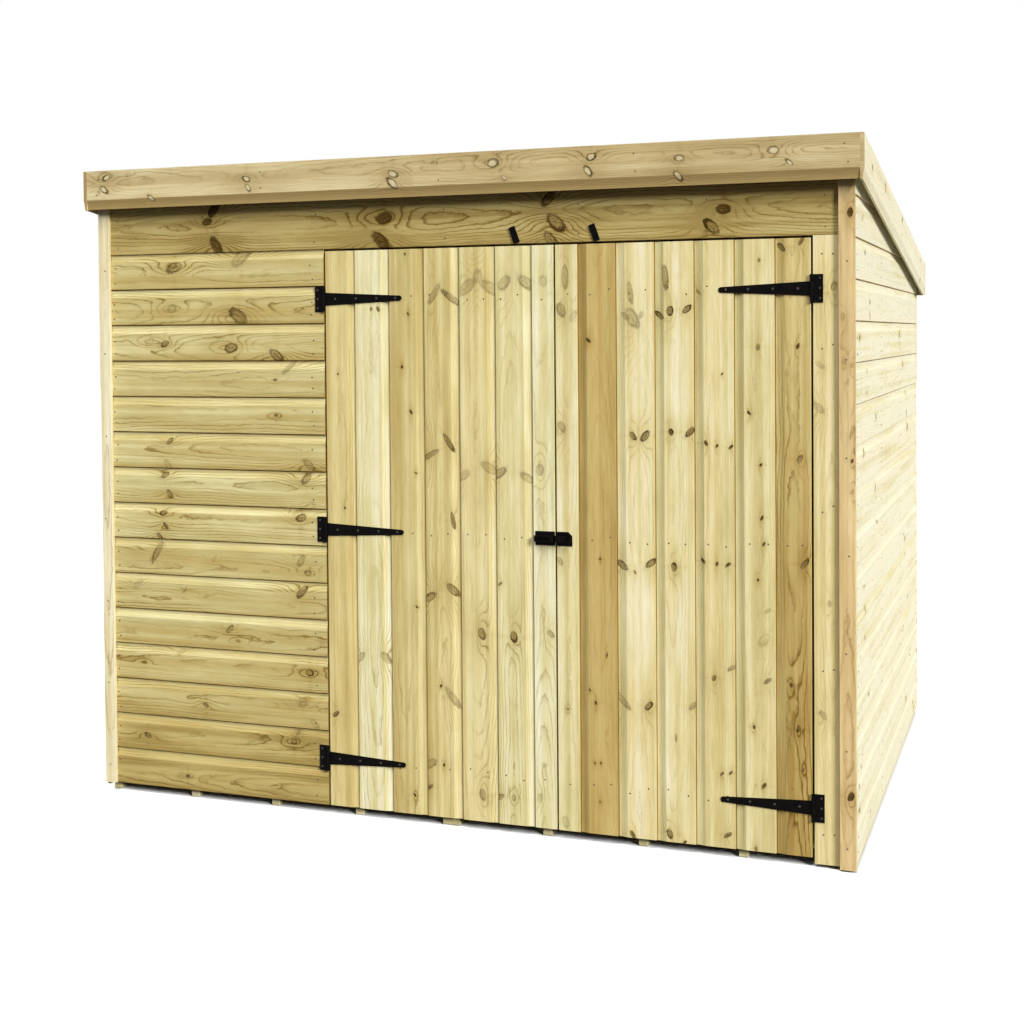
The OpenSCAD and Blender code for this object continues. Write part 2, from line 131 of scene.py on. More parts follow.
class Graph:
    """Short names for the nodes that a material is made of."""

    def __init__(self, tree):
        self.tree = tree

    def node(self, kind, **settings):
        made = self.tree.nodes.new(kind)
        for key, value in settings.items():
            setattr(made, key, value)
        return made

    def value(self, made, output=0):
        return Value(self, made.outputs[output])

    def feed(self, socket, value):
        if isinstance(value, Value):
            self.tree.links.new(value.socket, socket)
        elif value is not None:
            socket.default_value = value

    def fill(self, made, inputs):
        for name, value in inputs.items():
            self.feed(made.inputs[name], value)
        return made

    def feed_all(self, made, *values):
        for socket, value in zip(made.inputs, values):
            self.feed(socket, value)
        return self.value(made)

    def math(self, op, a, b=None, clamp=False):
        return self.feed_all(self.node("ShaderNodeMath", operation=op, use_clamp=clamp), a, b)

    def join(self, x, y, z):
        return self.feed_all(self.node("ShaderNodeCombineXYZ"), x, y, z)

    def split(self, vector):
        made = self.node("ShaderNodeSeparateXYZ")
        self.feed(made.inputs[0], vector)
        return [self.value(made, axis) for axis in "XYZ"]

    def attribute(self, name, output="Vector"):
        return self.value(self.node("ShaderNodeAttribute", attribute_name=name), output)

    def place(self):
        return self.value(self.node("ShaderNodeTexCoord"), "Object")

    def noise(self, vector, scale=1.0, detail=2.0, roughness=0.5):
        inputs = {"Vector": vector, "Scale": scale, "Detail": detail, "Roughness": roughness}
        return self.value(self.fill(self.node("ShaderNodeTexNoise"), inputs))

    def bump(self, height, strength, distance):
        inputs = {"Height": height, "Strength": strength, "Distance": distance}
        return self.value(self.fill(self.node("ShaderNodeBump"), inputs))

    def ramp(self, value, stops):
        made = self.node("ShaderNodeValToRGB")
        while len(made.color_ramp.elements) < len(stops):
            made.color_ramp.elements.new(0.5)
        for element, (place, colour) in zip(made.color_ramp.elements, stops):
            element.position = place
            element.color = (*colour, 1.0) if isinstance(colour, tuple) else (colour, colour, colour, 1.0)
        return self.feed_all(made, value)

    def mix(self, factor, a, b, mode="MIX"):
        made = self.node("ShaderNodeMix", data_type="RGBA", blend_type=mode)
        for index, value in ((0, factor), (6, a), (7, b)):
            self.feed(made.inputs[index], (*value, 1.0) if isinstance(value, tuple) else value)
        return self.value(made, 2)

    def span(self, value, low, high, to_low=0.0, to_high=1.0):
        made = self.node("ShaderNodeMapRange", interpolation_type="SMOOTHSTEP")
        return self.feed_all(made, value, low, high, to_low, to_high)

    def seen(self):
        """One for what the camera sees, also mirrored or through glass, and zero for light on things."""
        path = self.node("ShaderNodeLightPath")
        straight, mirrored, through = (
            self.value(path, f"Is {way} Ray") for way in ("Camera", "Glossy", "Transmission")
        )
        return straight.larger(mirrored).larger(through)


def new_material(name):
    """An empty material, its graph and its shader."""
    made = bpy.data.materials.new(name)
    made.use_nodes = True
    made.node_tree.nodes.clear()
    graph = Graph(made.node_tree)
    shader = graph.node("ShaderNodeBsdfPrincipled")
    out = graph.node("ShaderNodeOutputMaterial")
    made.node_tree.links.new(shader.outputs[0], out.inputs[0])
    return made, graph, shader


KNOT_KEYS = ("knot_a", "knot_b", "knot_c", "knot_d")
KNOT_GIVEN = ("along", "across", "ragged", "fibrous", "kind", "heart", "knot")
KNOT_PARTS = ("bend", "face", "rim", "halo", "stain", "pale")


def knot_group():
    """One knot: how far it bends the rings, its face, its rim, the halo and stain round it and a pale face.
    Knots beside the log's heart lean away from it. The kind is how dark a knot is: below zero for a pale one,
    above two for a long spike knot and above four for one that stands along the grain."""
    group = bpy.data.node_groups.new("knot", "ShaderNodeTree")
    for name in KNOT_GIVEN:
        socket = "NodeSocketVector" if name == "knot" else "NodeSocketFloat"
        group.interface.new_socket(name, in_out="INPUT", socket_type=socket)
    for name in KNOT_PARTS:
        group.interface.new_socket(name, in_out="OUTPUT", socket_type="NodeSocketFloat")
    g = Graph(group)
    given = g.node("NodeGroupInput")
    along, across, ragged, fibrous, kind, heart, knot = (g.value(given, name) for name in KNOT_GIVEN)
    ku, kv, kr = g.split(knot)
    spike = kind > 1.5
    pale = kind < 0.0
    upright = kind > 3.5
    dark = abs(kind - spike * 2.0 - upright * 2.0)
    chance = g.fill(g.node("ShaderNodeTexWhiteNoise"), {"Vector": knot})
    luck_a, luck_b, luck_c = g.split(g.value(chance, "Color"))

    # place on the knot, turned with its lean, with its edge at a distance of one
    lean = ((kv - heart) * 33.0).smaller(1.0).larger(-1.0)
    tilt = ((luck_a - 0.5) * 0.5 + lean * 0.85) * (1.0 - upright * 0.8)
    cosine = tilt.cosine()
    sine = tilt.sine()
    near_u = (along - ku) / kr
    near_v = (across - kv) / kr
    aspect = luck_b * 0.35 + abs(lean) * 0.65 + spike * 1.7 + 1.0
    du = (near_u * cosine + near_v * sine) / aspect
    dv = (near_v * cosine - near_u * sine) * 1.15
    round_d = (du * du + dv * dv).root()
    edge = round_d + ragged * 0.55
    long_u = (near_u + 0.5) * (0.34 - spike * 0.16)
    long_square = long_u * long_u + near_v * near_v

    # face with its own year rings
    face = g.span(edge, 0.74, 1.0, 1.0, 0.0)
    ripple = (edge * 19.0 - 1.2).sine()
    lines = g.span(ripple, 0.30, 0.95, 0.0, 0.55) * g.span(edge, 0.80, 0.95, 1.0, 0.0)
    thread = g.span(fibrous, 0.30, 0.68, 0.70, 1.0)
    brown = face * (ripple * 0.10 + 0.90) * g.span(dark, 0.2, 0.9, 0.10, 1.0) * thread

    # rim, heavier on one side, and the dark middle
    turn = luck_c * 6.283
    toward = (du * turn.cosine() + dv * turn.sine()) / round_d.larger(0.05)
    inner = toward * -0.15 + 0.70
    rim = g.span(edge, inner - 0.14, inner + 0.06) - g.span(edge, 1.0, 1.16)
    rim = rim * thread * g.span(toward, -1.0, 0.4, 0.65, 1.0)
    eye = (dv * dv * -26.0).power() * g.span(edge, 0.25, 0.65, 0.75, 0.0) * g.span(luck_b, 0.35, 0.65)
    core = g.span(edge, 0.30, 0.95, 0.85, 0.0) * g.span(kr, 0.005, 0.011, 1.0, 0.0)
    inside = eye.larger(core).larger(lines).larger(brown * g.span(dark, 0.86, 1.0, 0.0, 0.9))
    rim = rim.larger(inside * (1.0 - pale)) * g.span(dark, 0.2, 1.0, 0.22, 1.0)

    # stain along the grain on one side, and the halo that joins the knots of a ring of branches
    tail = g.span(du, -2.6, -0.5) * g.span(du, -0.5, 0.7, 1.0, 0.0) * (dv * dv * -1.4).power()
    tail = tail * thread * g.span(abs(lean), 0.15, 0.6)
    wide_v = near_v * 0.26
    bridge = ((near_u * near_u + wide_v * wide_v) * -1.1).power() * 0.9
    halo = (long_square * -0.24).power().larger(bridge)
    parts = {
        "bend": (long_square * -0.42).power() * kr * 1.5,
        "face": brown * (1.0 - pale),
        "rim": rim.clamped(),
        "halo": halo * dark,
        "stain": tail * dark,
        "pale": face * pale,
    }
    g.fill(g.node("NodeGroupOutput"), parts)
    return group


KNOT = knot_group()
LATE_WOOD = [(0.0, 0.15), (0.06, 0.0), (0.64, 0.03), (0.84, 0.42), (0.93, 1.0), (0.98, 0.55), (1.0, 0.15)]
GRAIN_LINE = (0.45, 0.365, 0.185)
KNOT_STAIN = (0.31, 0.225, 0.090)
KNOT_FACE = (0.330, 0.226, 0.072)
KNOT_PALE = (0.80, 0.71, 0.46)
KNOT_RIM = (0.062, 0.033, 0.005)


def timber_material(name, stops, ring=0.0066, line=0.85, rough=0.64):
    """Sawn softwood, with the name of its slot: growth rings cut by the face, fibre, knots and blotches, from
    each piece's own grain."""
    made, g, shader = new_material(name)
    u, v, w = g.split(g.attribute("grain"))
    tone, heart, seed = g.split(g.attribute("look"))
    contrast = g.attribute("look", "Alpha")
    hue = g.attribute("hue", "Fac")

    def stretched(along, across, layer, detail=2.0, roughness=0.5):
        """Noise drawn out along the grain. Each layer has a pattern of its own."""
        return g.noise(g.join(u * along, v * across, seed + layer), 1.0, detail, roughness)

    ragged = stretched(120.0, 120.0, 0.0, 3.0, 0.62) - 0.5
    fibrous = stretched(130.0, 260.0, 2.0)
    shared = {"along": u, "across": v, "ragged": ragged, "fibrous": fibrous, "heart": heart}
    sums = {}
    for key in KNOT_KEYS:
        call = g.node("ShaderNodeGroup", node_tree=KNOT)
        g.fill(call, {**shared, "knot": g.attribute(key), "kind": g.attribute(key, "Alpha")})
        for part in KNOT_PARTS:
            found = g.value(call, part)
            if part in sums:
                found = sums[part] + found if part == "bend" else sums[part].larger(found)
            sums[part] = found

    # the log's heart lies behind the face and leans away along the board, so rings are cut into long points
    drift = g.noise(g.join(u * 0.8, seed, 0.0), 1.0, 1.0)
    pitch = (seed * 1.37).fraction() - 0.5
    below = (drift - 0.5) * 0.11 + 0.055 + pitch * u * 0.05 + w
    side = v - heart
    radius = (side * side + below * below).root() + (stretched(3.2, 9.0, 0.0) - 0.5) * 0.018
    radius = radius + (stretched(34.0, 90.0, 0.0) - 0.5) * 0.0042 + sums["bend"]
    late = g.ramp((radius / ring).fraction(), LATE_WOOD)
    late = late * g.span(stretched(2.1, 16.0, 7.0, 3.0), 0.36, 0.66, 0.10, 1.0)

    # tone and warmth of the wood between the rings
    blotch = stretched(3.4, 15.0, 3.0, 4.0, 0.58) - 0.5
    streak = g.span(stretched(0.6, 46.0, 5.0, 2.0, 0.55), 0.34, 0.66) - 0.5
    cast = (stretched(1.2, 30.0, 11.0) - 0.5) * 2.4 + hue
    shade = blotch * 0.62 + tone + streak * 0.24 + sums["halo"] * 0.26
    warmth = g.join(cast * 0.018 + 1.0, cast * -0.035 + 1.0, cast * -0.10 + 1.0)
    colour = g.mix(1.0, g.ramp(shade.clamped(), stops), warmth, "MULTIPLY")

    # rings, fibre and knots over it. Knots are dull, so that they stay brown in pale surroundings
    near = contrast * sums["halo"] * 1.3 + contrast
    colour = g.mix((late * near * line).clamped(), colour, GRAIN_LINE, "MULTIPLY")
    fibre = g.noise(g.join(u * 14.0, v * 620.0, w * 620.0), 1.0, 3.0, 0.6)
    grey = g.span(fibre, 0.25, 0.75, 0.86, 1.08)
    colour = g.mix(1.0, colour, g.join(grey, grey, grey), "MULTIPLY")
    colour = g.mix((sums["stain"] * 0.55).clamped(), colour, KNOT_STAIN)
    colour = g.mix(sums["face"] * 0.78, colour, KNOT_FACE)
    colour = g.mix(sums["pale"] * 0.45, colour, KNOT_PALE)
    colour = g.mix((sums["rim"] * 1.25).clamped(), colour, KNOT_RIM)
    dull = sums["rim"].larger(sums["face"])
    inputs = {
        "Base Color": colour,
        "Roughness": g.span(late, 0.0, 1.0, rough, rough - 0.10),
        "Specular IOR Level": g.span(dull, 0.0, 0.8, 0.22, 0.03),
        "Normal": g.bump(fibre, 0.35, 0.0005),
    }
    g.fill(shader, inputs)
    return name, made


PALE_PINE = [
    (0.0, (0.90, 0.84, 0.60)),
    (0.30, (0.745, 0.65, 0.325)),
    (0.60, (0.565, 0.462, 0.188)),
    (0.80, (0.500, 0.375, 0.132)),
    (1.0, (0.360, 0.252, 0.072)),
]
TAN_PINE = [
    (0.0, (0.88, 0.82, 0.58)),
    (0.30, (0.73, 0.62, 0.355)),
    (0.60, (0.555, 0.435, 0.215)),
    (1.0, (0.37, 0.26, 0.10)),
]
treated = timber_material("treated_timber", PALE_PINE)
trim = timber_material("trim_timber", TAN_PINE, ring=0.0060)
framing = timber_material("frame_timber", PALE_PINE, ring=0.0048, line=0.5, rough=0.72)
flooring = timber_material("floor_timber", PALE_PINE, ring=0.0058, line=0.45, rough=0.70)


def steel_material(name, colour, rough, metal, shine=0.035):
    """Painted steel: a fine orange-peel coat, thinner and greyer in patches."""
    made, g, shader = new_material(name)
    patch = g.noise(g.place(), 45.0, 3.0, 0.6)
    greyer = tuple(c * 1.8 + 0.001 for c in colour)
    inputs = {
        "Base Color": g.ramp(patch, [(0.30, colour), (0.75, greyer)]),
        "Roughness": g.span(patch, 0.3, 0.8, rough, rough + 0.16),
        "Metallic": metal,
        "Specular IOR Level": shine,
        "Normal": g.bump(g.noise(g.place(), 900.0, 2.0), 0.25, 0.0003),
    }
    g.fill(shader, inputs)
    return made


black = steel_material("black_steel", (0.0016, 0.0013, 0.0012), 0.46, 0.0)
screw = steel_material("screw_steel", (0.022, 0.020, 0.019), 0.40, 0.0, 0.30)
nail = steel_material("nail_steel", (0.085, 0.068, 0.045), 0.60, 0.2)

FELT_GRIT = [(0.15, (0.020, 0.024, 0.021)), (0.6, (0.048, 0.055, 0.049)), (0.95, (0.15, 0.155, 0.14))]
FELT_WORN = (0.026, 0.031, 0.027)
BITUMEN = (0.010, 0.010, 0.011)


def felt_material():
    """Mineral-faced roofing felt: close-set grit over a dark bitumen sheet, bare bitumen along each lap."""
    made, g, shader = new_material("roof_felt")
    place = g.place()
    grit = g.fill(g.node("ShaderNodeTexVoronoi"), {"Vector": place, "Scale": 620.0})
    x, y, z = g.split(place)
    wash = g.noise(g.join(x * 9.0, y * 0.9, z), 1.0, 4.0, 0.6)
    cloud = (wash - 0.5) * 0.8 + g.noise(place, 3.5, 4.0, 0.6)
    speck = g.ramp(g.value(grit, "Color"), FELT_GRIT)
    colour = g.mix(g.span(cloud, 0.32, 0.68, 0.0, 0.8), speck, FELT_WORN)
    ooze = g.span((g.noise(place, 30.0, 3.0) - 0.5) * 0.9 + g.attribute("lap", "Fac"), 0.45, 0.75)
    inputs = {
        "Base Color": g.mix(ooze, colour, BITUMEN),
        "Roughness": g.span(ooze, 0.0, 1.0, 0.9, 0.7),
        "Specular IOR Level": 0.08,
        "Normal": g.bump(1.0 - g.value(grit, "Distance"), 0.6, 0.0008),
    }
    g.fill(shader, inputs)
    return made


felt = felt_material()

FAR = (99.0, 99.0, 0.01, 0.0)  # a knot that is nowhere on the board
RING_GAP = 0.09  # knots nearer than this along the grain belong to one ring of branches
SEEDS = 400.0


def runs_of(knots, length):
    """Splits a board's knots into runs of four at most, cut between rings of branches."""
    rings = []
    for knot in sorted(knots):
        if rings and knot[0] - rings[-1][-1][0] < RING_GAP:
            rings[-1].append(knot)
        else:
            rings.append([knot])
    runs = [[]]
    for ring in rings:
        ring = sorted(ring, key=lambda knot: -knot[2])[: len(KNOT_KEYS)]
        if len(runs[-1]) + len(ring) > len(KNOT_KEYS):
            runs.append([])
        runs[-1] += ring
    cuts = [0.0]
    for left, right in zip(runs, runs[1:]):
        cuts.append((max(knot[0] for knot in left) + min(knot[0] for knot in right)) / 2)
    cuts.append(length)
    return list(zip(cuts, cuts[1:], runs))


def at(value, *place):
    """A value that is the same everywhere or depends on the place."""
    return value(*place) if callable(value) else value


class Boards:
    """Collects pieces of timber into one mesh. Each piece keeps its own grain, tone and knots."""

    def __init__(self):
        self.verts = []
        self.faces = []
        self.grain = []
        self.look = []
        self.hue = []
        self.knots = {key: [] for key in KNOT_KEYS}

    def sweep(
        self, outline, length, place, tone, knots=(), contrast=1.0, heart=None, hue=0.0, end_grain=0.30
    ):
        """Sweeps an outline of (across, depth) points along the grain. The tone may change along and across
        the board, the hue across it, and the contrast of its grain along it."""
        seed = rng.uniform(0.0, SEEDS)
        heart = rng.uniform(0.030, 0.085) if heart is None else heart
        pairs = zip(outline, outline[1:] + outline[:1])
        area = sum(a0 * d1 - a1 * d0 for (a0, d0), (a1, d1) in pairs)
        base = Vector(place(0, 0, 0))
        across, depth, along = (Vector(place(*step)) - base for step in ((0, 1, 0), (0, 0, 1), (1, 0, 0)))
        flip = area * across.cross(depth).dot(along) < 0.0
        count = len(outline)

        def section(u, group, darker=0.0):
            first = len(self.verts)
            for a, d in outline:
                self.verts.append(place(u, a, d))
                self.grain.append((u, a, d))
                self.look.append((at(tone, u, a) + darker, heart, seed, at(contrast, u)))
                self.hue.append((at(hue, a),))
                for slot, key in enumerate(KNOT_KEYS):
                    self.knots[key].append(group[slot] if slot < len(group) else FAR)
            return list(range(first, first + count))

        for start, end, group in runs_of(knots, length):
            low = section(start, group)
            high = section(end, group)
            made = [[low[i], low[(i + 1) % count], high[(i + 1) % count], high[i]] for i in range(count)]
            if start == 0.0:
                made.append(section(start, (), end_grain)[::-1])
            if end == length:
                made.append(section(end, (), end_grain))
            self.faces += [face[::-1] for face in made] if flip else made

    def finish(self, name, body, slot, material, nodes, cut=None):
        mesh = bpy.data.meshes.new(name)
        mesh.from_pydata(self.verts, [], self.faces)
        store(mesh, "grain", "FLOAT_VECTOR", "vector", self.grain)
        store(mesh, "look", "FLOAT_COLOR", "color", self.look)
        store(mesh, "hue", "FLOAT", "value", self.hue)
        for key in KNOT_KEYS:
            store(mesh, key, "FLOAT_COLOR", "color", self.knots[key])
        if cut:
            trim_above(mesh, *cut)
        return piece(name, mesh, body, slot, material, nodes)


def store(mesh, name, kind, field, values):
    """Keeps a value for each point of a mesh."""
    layer = mesh.attributes.new(name, kind, "POINT")
    layer.data.foreach_set(field, [number for value in values for number in value])


def trim_above(mesh, point, normal):
    """Cuts boards off along a plane and closes their ends."""
    bm = bmesh.new()
    bm.from_mesh(mesh)
    everything = bm.verts[:] + bm.edges[:] + bm.faces[:]
    plane = {"plane_co": point, "plane_no": normal}
    cut = bmesh.ops.bisect_plane(bm, geom=everything, clear_outer=True, dist=1e-6, **plane)
    edges = [item for item in cut["geom_cut"] if isinstance(item, bmesh.types.BMEdge)]
    bmesh.ops.edgenet_fill(bm, edges=edges)
    bm.to_mesh(mesh)
    bm.free()


SHARP = math.radians(30.0)


def linked(name, data):
    """A new object in the scene."""
    made = bpy.data.objects.new(name, data)
    scene.collection.objects.link(made)
    return made


def meshed(bm, name):
    """Ends the building of a mesh."""
    mesh = bpy.data.meshes.new(name)
    bm.to_mesh(mesh)
    bm.free()
    return mesh


def piece(name, mesh, body, slot, material, nodes):
    """Links a mesh as a piece of the shed, riding on its body and standing for its CAD nodes."""
    mesh.polygons.foreach_set("use_smooth", [True] * len(mesh.polygons))
    mesh.set_sharp_from_angle(angle=SHARP)
    mesh.update()
    mesh.materials.append(material)
    made = linked(name, mesh)
    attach(made, body)
    if nodes:
        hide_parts(*nodes)
    return made


def eased(width, depth):
    """A rectangular section with its four arrises just taken off."""
    half = [(EASE, 0.0), (width - EASE, 0.0), (width, EASE), (width, depth - EASE)]
    return half + [(width - a, depth - d) for a, d in half]


def scoop(width, height):
    """The hollow along an edge of a board, from its face to the edge."""
    parts = [step / SCOOP_STEPS for step in range(SCOOP_STEPS + 1)]
    line = [(width - height - SCOOP_LINE, 0.0)]
    return line + [(width - height * (1 - part), SCOOP_D * math.sin(math.pi / 2 * part)) for part in parts]


def shiplap(width, top_scoop=True, lip=True):
    """Shiplap from its lower edge: a scooped top edge, a tongue above it and a rebate behind its foot."""
    foot = SHADOW_GAP if lip else 0.0
    rebate = REBATE_H if lip else foot
    shape = [(foot + up, into) for up, into in FOOT_ROUND] + [(foot + FOOT_BAND, 0.0)]
    if top_scoop:
        shape += scoop(width, SCOOP_H)
        shape += [(width + TONGUE_FROM, TONGUE_D), (width + TONGUE_H, TONGUE_D)]
        shape.append((width + TONGUE_BACK_H, BACK))
    else:
        shape += [(width - EDGE_EASE, 0.0), (width, EDGE_EASE), (width, BACK)]
    shape.append((rebate, BACK))
    if lip:
        shape += [(rebate, REBATE_D), (foot, REBATE_D)]
    return shape


def fascia(width):
    """Shiplap set upside down: measured from its top edge, with the scoop along its foot."""
    return [(0.0, EDGE_EASE), (EDGE_EASE, 0.0), *scoop(width, FASCIA_SCOOP_H), (width, THICK), (0.0, THICK)]


def in_joint(a, width):
    """Whether a point of a board's section lies in the joint with a neighbour, where both have a lip."""
    at_foot = abs(a - SHADOW_GAP) < 0.0006
    on_tongue = TONGUE_FROM / 2 < a - width < (TONGUE_H + TONGUE_BACK_H) / 2
    return at_foot or on_tongue


def in_scoop(a, width, height):
    """Whether a point of a board's section lies in its scoop."""
    return a > width - height - SCOOP_LINE / 2


def whorls(length, width, many, small=0.004, large=0.013):
    """Knots of a board, in pairs where a ring of branches left the stem."""
    found = []
    place = rng.uniform(0.05, 0.5)
    while place < length - 0.06:
        for _ in range(rng.choice((1, 2, 2))):
            size = rng.uniform(small, large)
            across = rng.uniform(0.15, 0.85) * width
            found.append((place + jitter(0.022), across, size, rng.uniform(0.45, 1.0)))
        place += rng.uniform(0.6, 1.4) / many
    return found


def islands(bm):
    """The separate pieces of a mesh, each as a list of its points."""
    left = set(bm.verts)
    while left:
        stack = [min(left, key=lambda vert: vert.co.to_tuple(4))]
        left.discard(stack[0])
        island = []
        while stack:
            vert = stack.pop()
            island.append(vert)
            for edge in vert.link_edges:
                other = edge.other_vert(vert)
                if other in left:
                    left.discard(other)
                    stack.append(other)
        yield island


def dress(name, node, body, slot, material, tone, ease=EASE):
    """Turns a CAD node's plain solids into timber: eased arrises, and grain along each piece's length."""
    bm = bmesh.new()
    bm.from_mesh(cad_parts[node].data)
    bmesh.ops.remove_doubles(bm, verts=bm.verts, dist=2e-5)
    bmesh.ops.dissolve_limit(bm, angle_limit=0.01, verts=bm.verts, edges=bm.edges)
    sharp = [e for e in bm.edges if len(e.link_faces) == 2 and e.calc_face_angle(0.0) > 0.5]
    bmesh.ops.bevel(bm, geom=sharp, offset=ease, segments=1, affect="EDGES", clamp_overlap=True)
    grain = bm.verts.layers.float_vector.new("grain")
    look = bm.verts.layers.float_color.new("look")
    hue = bm.verts.layers.float.new("hue")
    keys = [bm.verts.layers.float_color.new(key) for key in KNOT_KEYS]
    for island in islands(bm):
        low = [min(v.co[i] for v in island) for i in range(3)]
        high = [max(v.co[i] for v in island) for i in range(3)]
        order = sorted(range(3), key=lambda i: low[i] - high[i])
        length, width = (high[i] - low[i] for i in order[:2])
        knots = whorls(length, width, 1.0, 0.003, max(0.004, min(0.011, width * 0.2)))
        rng.shuffle(knots)
        own = (tone + jitter(0.10), rng.uniform(-0.02, width + 0.02), rng.uniform(0.0, SEEDS), 1.0)
        warm = jitter(0.6)
        for vert in island:
            vert[grain] = Vector([vert.co[i] - low[i] for i in order])
            vert[look] = own
            vert[hue] = warm
            for index, key in enumerate(keys):
                vert[key] = knots[index] if index < len(knots) else FAR
    return piece(name, meshed(bm, name), body, slot, material, [node])


# Camera of the photograph, with its focus and middle in pixels, and the same as a lens in mm and a shift
CAMERA_AT = Vector((1.74382, -5.02983, 1.4899))
CAMERA_TURN = Euler((1.548009, 0.007352, 0.336677))
FOCUS = 1481.24
MIDDLE_X = 540.0
MIDDLE_Y = 368.35
SENSOR = 36.0
LENS = 52.0747
SHIFT_X = -0.027344
SHIFT_Y = -0.140286


def on_plane(px, py, plane_y):
    """Where a point of the photograph lies on an upright plane, and how many metres a pixel spans there."""
    ray = CAMERA_TURN.to_matrix() @ Vector(((px - MIDDLE_X) / FOCUS, (MIDDLE_Y - py) / FOCUS, -1.0))
    reach = (plane_y - CAMERA_AT.y) / ray.y
    spot = CAMERA_AT + ray * reach
    return spot.x, spot.z, reach / FOCUS


def knots_on(listed, plane_y, fade=0.0):
    """Knots read off the photograph, as (x, z, radius, kind) on a plane of the shed, paler by the fade."""
    found = []
    for px, py, radius, kind in listed:
        x, z, pixel = on_plane(px, py, plane_y)
        fuller = 1.0 + 0.11 * max(0.0, radius - 1.5)
        found.append((x, z, radius * fuller * pixel, kind - fade))
    return found


# Knots of the front as seen: x, y and radius in pixels, and the kind
PANEL_KNOTS = (
    (174, 268, 4.2, 0.75), (241, 257, 5, 0.6), (145, 275, 1.2, 0.5), (172, 309, 3.6, 0.6),
    (238, 316, 5, 0.85), (165, 344, 2.8, 0.85), (231, 348, 4.2, 0.85), (277, 356, 4, 0.85),
    (150, 342, 3, 0.35), (289, 367, 2.6, 2.6), (275, 380, 1.6, 0.7), (276, 415, 1.8, 0.8),
    (170, 441, 2.4, 0.8), (168, 465, 3, 0.5), (309, 465, 3.4, 0.6), (165, 475, 2.5, 0.8),
    (170, 494, 2.5, 0.8), (306, 479, 3.4, 0.75), (313, 504, 2, 0.3), (163, 513, 2.6, 1.0),
    (166, 526, 2, 0.85), (160, 537, 2.4, 0.9), (301, 518, 3.4, 0.85), (289, 511, 1.3, 0.5),
    (157, 552, 3, 2.8), (214, 559, 2.2, 0.3), (301, 561, 3.2, 0.6), (308, 573, 3, 0.75), (138, 584, 3, 0.35),
    (185, 590, 1.2, 2.6), (302, 592, 3.4, 0.85), (207, 596, 2, 0.3), (230, 629, 2.6, 0.75),
    (238, 641, 2, 0.5), (181, 652, 2.6, 0.4), (145, 662, 1.6, 0.7), (310, 673, 3.2, 1.0),
    (206, 705, 2.2, 0.8), (303, 704, 3, 0.6), (315, 724, 3, 0.5), (148, 735, 2.4, 0.9), (294, 742, 2.6, 0.85),
    (298, 733, 2, 0.6), (188, 776, 1.8, 0.9),
)
LINTEL_KNOTS = (
    (214, 209, 3.5, 1.0), (207, 222, 2.8, 1.0), (216, 246, 3.8, 1.0), (384, 218, 4.2, 1.0),
    (381, 241, 4.2, 1.0), (548, 199, 3.5, 0.9), (556, 223, 4.4, 0.85), (551, 240, 3.6, 0.7),
    (723, 209, 3.8, 1.0), (711, 226, 3.8, 0.9),
)
LEFT_KNOTS = (
    (371, 309, 1.6, 0.6), (378, 309, 1.8, 0.7), (361, 657, 3, 0.45), (386, 658, 3.4, 0.45),
    (402, 367, 1.3, 1.0), (411, 412, 1.4, 1.0), (405, 254, 1.1, 0.8), (408, 314, 1.2, 0.9),
    (416, 473, 0.9, 0.9), (417, 607, 1.0, 0.9), (415, 795, 1.2, 1.0), (338, 374, 1.0, 0.8),
    (345, 508, 1.1, 0.8), (336, 714, 2.2, 0.8), (434, 294, 3, 2.5), (451, 298, 3, 2.6), (449, 443, 2.6, 2.75),
    (430, 455, 2.6, 2.6), (453, 521, 2.2, 4.7), (453, 590, 3.6, 0.65), (430, 597, 3.4, 0.7),
    (441, 686, 1.3, 1.0), (453, 698, 3.2, 2.5), (430, 764, 3.6, 0.5), (444, 765, 1.3, 1.0),
    (430, 787, 2, 0.7), (467, 287, 4.6, 0.4), (490, 288, 4.6, 0.4), (478, 276, 4, 0.3), (463, 476, 3.6, 0.4),
    (489, 468, 4, 0.4), (482, 634, 3.6, 0.7), (483, 795, 3.2, 0.55), (504, 283, 4.4, 0.45),
    (526, 283, 4.4, 0.5), (500, 473, 3.6, 0.55), (527, 478, 3.6, 0.45), (514, 637, 3.4, 0.85),
    (500, 797, 2.6, 0.6), (514, 798, 2.6, 0.5), (500, 584, 1.6, 0.6), (543, 281, 3.6, 0.35),
    (540, 470, 3.8, 0.45), (551, 634, 2.6, 0.5), (540, 798, 2.6, 0.35),
)
